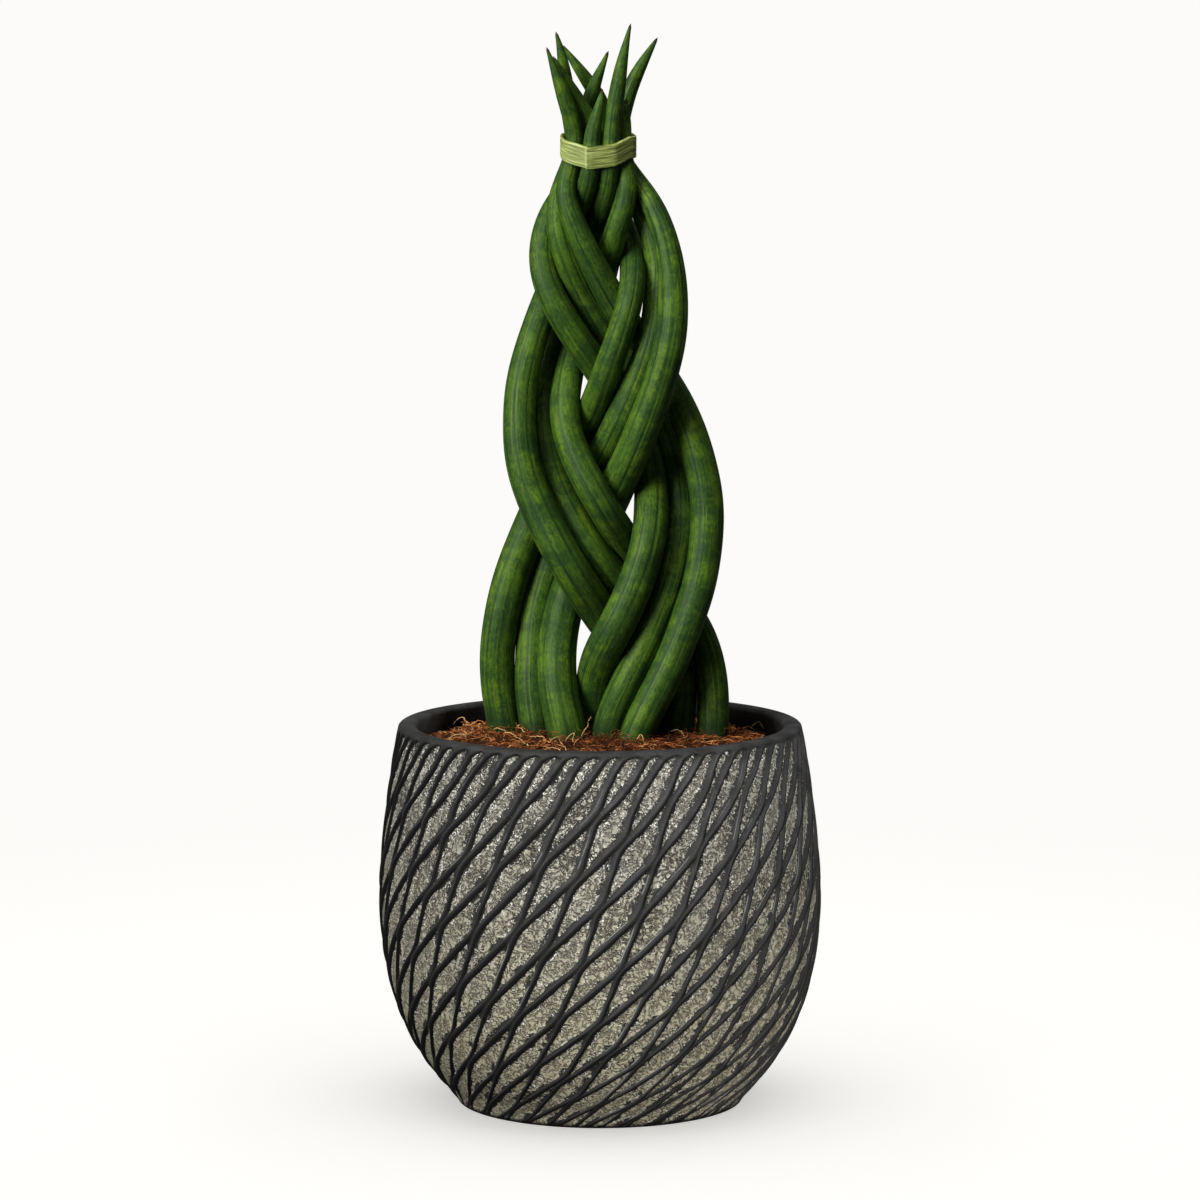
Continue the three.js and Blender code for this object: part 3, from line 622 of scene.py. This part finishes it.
# ---------------------------------------------------------------- coir
# A top dressing of coir, the fibre of coconut husk, teased out and laid loose on the soil round
# the leaves. A few longer, paler strands have sprung up out of it.
COIR_AT_MIDDLE = 0.187
COIR_AT_WALL = 0.176
COIR_GAP = 0.0005                   # between the bed's edge and the pot's wall
COIR_RADIUS = float(np.interp(COIR_AT_WALL, wall[:, 1], wall[:, 0])) - POT_WALL - COIR_GAP
COIR_COLUMNS = 96
COIR_ROWS = 40
LUMP_HEIGHT = 0.011
LUMP_NOISE = (130.0, 3.0, 0.6)      # scale, detail and roughness
FOOT_DIP = 0.003                    # of the bed at the leaves' feet
DIP_FROM, DIP_TO = 0.001, 0.007     # it runs out between these distances from a foot
FIBRES_IN_SQUARE_METRE = 170000.0
FIBRE_RADIUS = 0.00025
FIBRES_OFF_WALL = 0.007
FIBRES_ROUND_LEAF = 34
FOOT_CUT = 0.002                    # below the bed's top, where the outline of a leaf's foot is read
CLING_AWAY = 0.0022                 # how far from that outline the leaf's own fibres lie, at most
CLING_LOW, CLING_HIGH = -0.0004, 0.0046     # and how far above the cut
COIR_DARK = (0.012, 0.004, 0.002, 1)
COIR_BROWN = (0.38, 0.115, 0.030, 1)
COIR_LIGHT = (0.82, 0.35, 0.12, 1)
COIR_TAN = (0.62, 0.38, 0.15, 1)


def joined_meshes(*parts):
    """One geometry made of several: the Join node's one socket takes a link from each."""
    join = parts[0].tree.nodes.new("GeometryNodeJoinGeometry")
    for part in parts:
        part.tree.links.new(part.socket, join.inputs[0])
    return Wire(parts[0].tree, join.outputs[0])


def wandering(mesh, scale, reach, lift):
    """Bends strands by a noise of that scale, by about half the reach sideways and the lift up."""
    push = mesh.node("ShaderNodeTexNoise", {"Scale": scale, "Detail": 1.0}, out=1)
    push = push.vector("SUBTRACT", push, (0.5, 0.5, 0.5))
    push = push.vector("MULTIPLY", push, (reach, reach, lift))
    return mesh.node("GeometryNodeSetPosition", {"Geometry": mesh, "Offset": push})


start, bed, across, along = grid_tree(
    "coir",
    {"Middle height": COIR_AT_MIDDLE, "Edge height": COIR_AT_WALL, "Radius": COIR_RADIUS,
     "Fibres in a square metre": FIBRES_IN_SQUARE_METRE, "Fibre radius": FIBRE_RADIUS,
     "Foot dip": FOOT_DIP, "Seed": 5}, COIR_COLUMNS, COIR_ROWS)
spread = 1 - along
angle = across * 2 * math.pi
radius = spread * start.out("Radius")
drop = (start.out("Middle height") - start.out("Edge height")) * spread**4
flat = start.joined(radius * angle.cos(), radius * angle.sin(), 0.0)
lumps = noise(start, flat, *LUMP_NOISE)
over_flat = flat.vector("ADD", flat, start.joined(0.0, 0.0, start.out("Middle height")))
feet = start.node("GeometryNodeSeparateGeometry",
                  {"Geometry": start.out("Geometry"), "Selection": start.named("cling")})
to_feet = start.node("GeometryNodeProximity", {"Geometry": feet, "Sample Position": over_flat},
                     out="Distance", target_element="POINTS")
dip = to_feet.fade(DIP_FROM, DIP_TO)
height = start.out("Middle height") - drop + (lumps - 0.52) * LUMP_HEIGHT
height = height - dip * start.out("Foot dip")
# painted shade: the bed under the fibres is painted near black, standing for the shadow between them
bed = bed.store("tone", lumps * 0.05).store("dip", dip)
bed = place_points(bed, flat.vector("ADD", flat, start.joined(0.0, 0.0, height)), 0.00002)

# One fibre at its full size, 18 mm long, which is scattered smaller.
curl = start.node("GeometryNodeCurvePrimitiveBezierSegment", {
    "Resolution": 6, "Start": (-0.009, 0, -0.001), "Start Handle": (-0.004, 0.004, 0.002),
    "End Handle": (0.003, -0.004, 0.003), "End": (0.009, 0.001, 0.0)})
ring = start.node("GeometryNodeCurvePrimitiveCircle",
                  {"Resolution": 3, "Radius": start.out("Fibre radius")})
fibre = start.node("GeometryNodeCurveToMesh", {"Curve": curl, "Profile Curve": ring})
x, y, _ = start.node("GeometryNodeInputPosition").parts()
off_wall = start.out("Radius") - FIBRES_OFF_WALL - (x * x + y * y) ** 0.5
raised = noise(start, start.joined(x, y, 0.0), *LUMP_NOISE).rise(0.44, 0.62)
open_air = ((x * x + y * y) ** 0.5).rise(0.03, 0.065)
cover = (raised + open_air + 0.15).at_most(1.0)
scattered = start.node("GeometryNodeDistributePointsOnFaces", {
    "Mesh": bed, "Selection": off_wall, "Density": start.out("Fibres in a square metre") * cover,
    "Seed": start.out("Seed")})
drawn = start.node("FunctionNodeRandomValue", {"Seed": start.out("Seed")}, out=1, data_type="FLOAT")
# painted light and shade: fibres are lighter on raised lumps and out from among the leaves, and darker
# in the dips at the leaves' feet
shaded = (open_air * 0.85 + 0.4) * (raised * 0.55 + 0.45) * (1 - scattered.named("dip") * 0.75)
scattered = scattered.store("tone", drawn * shaded)
turned = start.node("FunctionNodeRandomValue",
                    {0: (-0.3, -0.3, 0.0), 1: (0.3, 0.3, 6.283), "Seed": 1}, data_type="FLOAT_VECTOR")
size = start.node("FunctionNodeRandomValue", {2: 0.2, 3: 0.7, "Seed": 2}, out=1, data_type="FLOAT")
fibres = start.node("GeometryNodeInstanceOnPoints", {
    "Points": scattered, "Instance": fibre, "Rotation": turned, "Scale": size})
fibres = fibres.node("GeometryNodeRealizeInstances", {"Geometry": fibres})
fibres = wandering(fibres, 70.0, 0.014, 0.003)
clinging = start.node("GeometryNodeInstanceOnPoints", {
    "Points": start.out("Geometry"), "Selection": start.named("cling"), "Instance": fibre,
    "Rotation": start.joined(turned.parts()[0], turned.parts()[1], start.named("turn")),
    "Scale": size * 0.8})
clinging = clinging.node("GeometryNodeRealizeInstances", {"Geometry": clinging})
clinging = clinging.store("tone", size * 0.9)
fibres = wandering(joined_meshes(fibres, clinging), 300.0, 0.007, 0.005)
sprung = start.node("GeometryNodeMeshToCurve", {"Mesh": start.out("Geometry")})
sprung = sprung.node("GeometryNodeCurveSplineType", {"Curve": sprung}, spline_type="CATMULL_ROM")
sprung = sprung.node("GeometryNodeResampleCurve", {"Curve": sprung, "Count": 16}, mode="COUNT")
sprung = sprung.node("GeometryNodeCurveToMesh", {"Curve": sprung, "Profile Curve": ring, "Scale": 1.1})
sprung = wandering(sprung.store("tone", 1.0), 200.0, 0.006, 0.003)
end_tree(joined_meshes(bed, fibres, sprung), start.out("Material"))

coir_fibre, shader, root = surface("coir_fibre", Roughness=0.75, Specular_IOR_Level=0.12)
tone = root.node("ShaderNodeAttribute", out="Fac", attribute_name="tone")
colours = root.node("ShaderNodeValToRGB", {"Fac": tone}, stops=[
    (0.0, COIR_DARK), (0.45, COIR_BROWN), (0.85, COIR_LIGHT), (1.0, COIR_TAN)])
finish_with(shader, {"Base Color": colours})

STRANDS = [                         # points along the long strands, in millimetres
    [(-12.3, -44, 186.5), (-10, -45, 191), (-6, -46, 196.5), (-4.6, -46, 201)],
    [(-16.3, -39, 186.5), (-15.3, -40, 190), (-13.3, -41, 191.5), (-12.3, -42, 187.5)],
    [(-52, 5, 186.5), (-49.5, -2, 188), (-43.4, -22, 188), (-37, -38, 186.5)],
    [(-35, -18, 186.8), (-29, -30, 188), (-24, -43, 186.5)],
    [(-43, 10, 187), (-41, 4, 189), (-39, -6, 187)],
    [(-63, 75, 182), (-62, 75, 185), (-59.5, 74, 183)],
    [(-74, 54, 182.5), (-70.7, 54, 186), (-67, 53, 182.5)],
    [(18.8, -36, 186.5), (19.8, -37, 190.5), (22.2, -38, 186.5)],
    [(33.5, -14, 187), (37, -16, 190), (40.5, -18, 189), (42, -24, 186.5)],
    [(48.8, 4, 187), (53.3, 2, 190), (57.3, 0, 187.5), (61, 0, 188.5)],
    [(66.7, 74, 182), (68.7, 74, 184.5), (70.8, 74, 185.5)],
    [(77.8, 45, 183), (81, 44, 185), (84, 42, 181.5)],
    [(-5.5, -5, 187), (-2, -6, 190), (2, -8, 189), (4.5, -12, 186.5)],
    [(-25.6, -43, 186.5), (-22, -44, 190.5), (-18, -45, 187.5)],
]
strand_points = [[c / 1000 for c in point] for strand in STRANDS for point in strand]
ends = np.cumsum([len(strand) for strand in STRANDS]).tolist()
strand_edges = [(k, k + 1) for k in range(len(strand_points) - 1) if k + 1 not in ends]
turns = [0.0] * len(strand_points)
draw = np.random.default_rng(8)
for name in leaf_names:
    area, foot = section(solid_triangles(name), COIR_AT_MIDDLE - FOOT_CUT)
    for bearing in np.linspace(0, 2 * math.pi, FIBRES_ROUND_LEAF, endpoint=False):
        away = math.sqrt(area / math.pi) + draw.uniform(0.0, CLING_AWAY)
        lift = draw.uniform(CLING_LOW, CLING_HIGH)
        strand_points.append([foot[0] + away * math.cos(bearing), foot[1] + away * math.sin(bearing),
                              foot[2] + lift])
        turns.append(bearing + math.pi / 2 + draw.uniform(-0.5, 0.5))
strand_lines = bpy.data.meshes.new("strands")
strand_lines.from_pydata(strand_points, strand_edges, [])
strand_lines.attributes.new("turn", "FLOAT", "POINT").data.foreach_set("value", turns)
clings = [0.0] * (len(turns) - len(leaf_names) * FIBRES_ROUND_LEAF)
clings += [1.0] * (len(turns) - len(clings))
strand_lines.attributes.new("cling", "FLOAT", "POINT").data.foreach_set("value", clings)
coir = grow("coir_bed", strand_lines, start, coir_fibre)
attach(coir, "root")
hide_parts("coir_dressing")

# ---------------------------------------------------------------- tie
# A flat strip of fresh raffia palm leaf, wrapped tight round the nine leaves below their tips and
# tucked under itself at the back. It is folded over at the front left, where it shows a crease.
TIE_HEIGHT = 0.0106
TIE_THICKNESS = 0.0009
TIE_MIDDLE = 0.479
TIE_TILT = 0.1                      # rise of the strip from front to back, for each metre
TIE_SIDE_LIFT = 0.0005
TIE_FRONT_TILT = 0.6                # where it dips towards the front
TIE_FRONT_LIFT = 0.0052
TIE_CENTRE = (-0.001, 0.0)
TIE_SINK = 0.0002                   # how far it is pulled into the soft leaves
RIB_HEIGHT = 0.0005
EDGE_ROUND = 0.0003
CREASE_ANGLE = math.radians(-107)
CREASE_HALF_WIDTH = 0.06            # radians round the plait
CREASE_HEIGHT = 0.0003
TIE_COLUMNS = 360
TIE_FACE_ROWS = 40
TIE_ROWS = TIE_FACE_ROWS + 4        # up the outer face, over the edge, down the inner face and back
RAFFIA_PALE = (0.50, 0.56, 0.19, 1)
RAFFIA_OLIVE = (0.21, 0.26, 0.05, 1)
RAFFIA_DARK = (0.05, 0.07, 0.012, 1)

from_centre = solid_triangles("raffia_tie").reshape(-1, 3)[:, :2] - TIE_CENTRE
pulls = np.linspace(-math.pi, math.pi, 2 * TIE_COLUMNS, endpoint=False)
drawn_to = (from_centre @ np.array([np.cos(pulls), np.sin(pulls)])).max(axis=0)
tie_bearings = np.linspace(-math.pi, math.pi, TIE_COLUMNS + 1)
tie_reaches = [(drawn_to / np.maximum(np.cos(b - pulls), 0.2)).min() for b in tie_bearings]
tie_reaches = softened(np.array(tie_reaches), 6)
tie_line = point_line("tie_loop", [(reach, 0, 0) for reach in tie_reaches], reach=tie_reaches)

start, strip, across, along = grid_tree(
    "tie", {"Height": TIE_HEIGHT, "Thickness": TIE_THICKNESS, "Middle": TIE_MIDDLE, "Tilt": TIE_TILT,
            "Front tilt": TIE_FRONT_TILT, "Crease": CREASE_ANGLE}, TIE_COLUMNS, TIE_ROWS)
row = (along * TIE_ROWS + 0.5).floor()
column = (across * TIE_COLUMNS + 0.5).floor()
angle = across * 2 * math.pi - math.pi
inside = (2 - abs(row - (TIE_FACE_ROWS + 2))).at_least(0.0).at_most(1.0)
up = (row / TIE_FACE_ROWS).at_most(1.0) - ((row - TIE_FACE_ROWS - 1) / 2).at_least(0.0).at_most(1.0)
up = up * 2 - 1
edge_sway = noise(start, start.joined(angle.cos() * 3, angle.sin() * 3, up * 0.6), 1.0, 2.0) - 0.5
level = (up + edge_sway * 0.14) * start.out("Height") / 2
creased = (1 - abs(angle - start.out("Crease")) / CREASE_HALF_WIDTH).at_least(0.0)
fibres = noise(start, start.joined(angle.cos() * 1.4, angle.sin() * 1.4, up * 9), 1.0, 2.0, 0.7)
rounded = (1 - abs(up)).rise(-0.02, 0.12)
outer = fibres * RIB_HEIGHT + creased * CREASE_HEIGHT + (rounded - 1) * EDGE_ROUND
out = (outer + start.out("Thickness") / 2) * (1 - inside) - inside * start.out("Thickness") / 2
sockets = {"Geometry": start.out("Geometry"), "Value": start.named("reach"), "Index": column}
reach = start.node("GeometryNodeSampleIndex", sockets, data_type="FLOAT")
reach = reach + out - start.out("Thickness") / 2 - TIE_SINK
depth = reach * angle.sin() + TIE_CENTRE[1]
dip = start.out("Front tilt") * depth + TIE_FRONT_LIFT
dip = dip.at_most(start.out("Tilt") * depth + TIE_SIDE_LIFT)
height = start.out("Middle") + dip + level
position = start.joined(reach * angle.cos() + TIE_CENTRE[0], depth, height)
strip = strip.store("strip_place", start.joined(angle, up, 0.0), "FLOAT_VECTOR")
end_tree(place_points(strip, position, 0.00001), start.out("Material"))

raffia, shader, root = surface("raffia", Roughness=0.5, Specular_IOR_Level=0.35)
place = root.node("ShaderNodeAttribute", out="Vector", attribute_name="strip_place")
angle, up, _ = place.parts()
lines = noise(root, root.joined(angle * 0.9, up * 7, 0.0), 1.0, 2.0, 0.6)
threads = noise(root, root.joined(angle * 1.6, up * 22, 4.0), 1.0, 2.0, 0.6)
tone = (lines * 0.5 + threads * 0.5).rise(0.36, 0.5).blend(RAFFIA_DARK, RAFFIA_OLIVE)
tone = (lines * 0.5 + threads * 0.5).rise(0.49, 0.6).blend(tone, RAFFIA_PALE)
# painted highlight: a pale band along one side of the crease
beside_crease = angle - CREASE_ANGLE + 0.03
crease_highlight = (1 - abs(beside_crease) / 0.05).at_least(0.0) * 0.5
tone = crease_highlight.blend(tone, RAFFIA_PALE)
finish_with(shader, {"Base Color": tone, "Normal": bump(root, threads * 0.5 + lines, 0.0002)})

tie = grow("tie_strip", tie_line, start, raffia)
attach(tie, "root")
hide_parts("raffia_tie")

# ---------------------------------------------------------------- floor, light and camera
# Not part of the plant: a round bowl of pale paper, lit from behind where it lies far off so that it
# looks the same all round, softboxes flagged off to light the plant, the pot or the paper alone,
# and a camera.
PAPER_NEAR = (0.86, 0.855, 0.84, 1)
PAPER_GLOW = (0.550, 0.545, 0.532, 1)
PAPER_FAR = (0.970, 0.962, 0.947, 1)
PAPER_TURNS = 96
PAPER_FLAT = 3.2                    # radius of the flat middle
PAPER_BEND = 0.8                    # radius of the bend up to the wall
PAPER_TOP = 4.0
ROOM_LIGHT = 0.08

bowl_profile = [(0.0005, 0.0), (0.6, 0.0), (1.2, 0.0), (PAPER_FLAT, 0.0)]
bowl_profile += [(PAPER_FLAT + PAPER_BEND * math.sin(a), PAPER_BEND - PAPER_BEND * math.cos(a))
                 for a in np.radians(range(10, 91, 10))]
bowl_profile += [(PAPER_FLAT + PAPER_BEND, PAPER_TOP)]
paper_points = []
paper_faces = []
for turn in range(PAPER_TURNS):
    bearing = 2 * math.pi * turn / PAPER_TURNS
    paper_points += [(r * math.cos(bearing), r * math.sin(bearing), z) for r, z in bowl_profile]
    here, there = (len(bowl_profile) * (k % PAPER_TURNS) for k in (turn, turn + 1))
    paper_faces += [(here + k, here + k + 1, there + k + 1, there + k)
                    for k in range(len(bowl_profile) - 1)]
paper = bpy.data.meshes.new("paper")
paper.from_pydata(paper_points, [], paper_faces)
paper.shade_smooth()
paper_sweep = bpy.data.objects.new("paper_sweep", paper)
scene.collection.objects.link(paper_sweep)
paper_white, shader, root = surface(
    "paper_white", Roughness=0.9, Specular_IOR_Level=0.0, Emission_Strength=1.0)
x, y, _ = root.node("ShaderNodeTexCoord", out="Object").parts()
far = ((x * x + y * y) ** 0.5).rise(0.45, 1.3)
finish_with(shader, {"Base Color": far.blend(PAPER_NEAR, (0, 0, 0, 1)),
                     "Emission Color": far.blend(PAPER_GLOW, PAPER_FAR)})
paper.materials.append(paper_white)
paper_sweep.visible_diffuse = False
paper_sweep.visible_glossy = False

world = bpy.data.worlds.new("studio")
world.use_nodes = True
world.node_tree.nodes["Background"].inputs["Color"].default_value = (1, 1, 1, 1)
world.node_tree.nodes["Background"].inputs["Strength"].default_value = ROOM_LIGHT
scene.world = world


def lit_group(name, things):
    """A collection of the things that a softbox is flagged off to light."""
    group = bpy.data.collections.new(name)
    for thing in things:
        group.objects.link(thing)
    return group


def softbox(name, place, aim, size, power, lit, mirrored=True):
    """A rectangular lamp of that many watts, aimed at a point, that lights one group."""
    data = bpy.data.lights.new(name, "AREA")
    data.shape = "RECTANGLE"
    data.size, data.size_y = size
    data.energy = power
    lamp = bpy.data.objects.new(name, data)
    lamp.location = place
    lamp.rotation_euler = (Vector(aim) - Vector(place)).to_track_quat("-Z", "Y").to_euler()
    lamp.light_linking.receiver_collection = lit
    lamp.visible_camera = False
    lamp.visible_glossy = mirrored
    scene.collection.objects.link(lamp)


paper_only = lit_group("lit_paper", [paper_sweep])
pot_only = lit_group("lit_pot", [pot])
plant = lit_group("lit_plant", [t for t in scene.objects if t.type == "MESH" and t != paper_sweep])
softbox("overhead", (0, 0, 2.4), (0, 0, 0), (3.2, 3.2), 42, paper_only)
softbox("key", (-1.5, -1.5, 1.25), (0, 0, 0.3), (0.9, 1.4), 65, plant)
softbox("top", (-0.4, -0.5, 2.0), (0, 0, 0.3), (1.4, 1.4), 18, plant)
softbox("pot_fill", (1.4, -1.7, 0.5), (0, 0, 0.1), (0.9, 1.2), 52, pot_only)
softbox("behind", (0.8, 1.9, 1.3), (0, 0, 0.25), (1.6, 1.4), 24, plant, mirrored=False)

CAMERA_DISTANCE = 2.45
CAMERA_RISE = math.radians(6.9)
CAMERA_AIM = (0, 0, 0.253)
camera_data = bpy.data.cameras.new("camera")
camera_data.lens = 147
camera_data.sensor_width = 36
camera = bpy.data.objects.new("camera", camera_data)
back = Vector((0, -math.cos(CAMERA_RISE), math.sin(CAMERA_RISE)))
camera.location = Vector(CAMERA_AIM) + back * CAMERA_DISTANCE
camera.rotation_euler = (-back).to_track_quat("-Z", "Y").to_euler()
scene.collection.objects.link(camera)
scene.camera = camera
scene.view_settings.view_transform = "Standard"
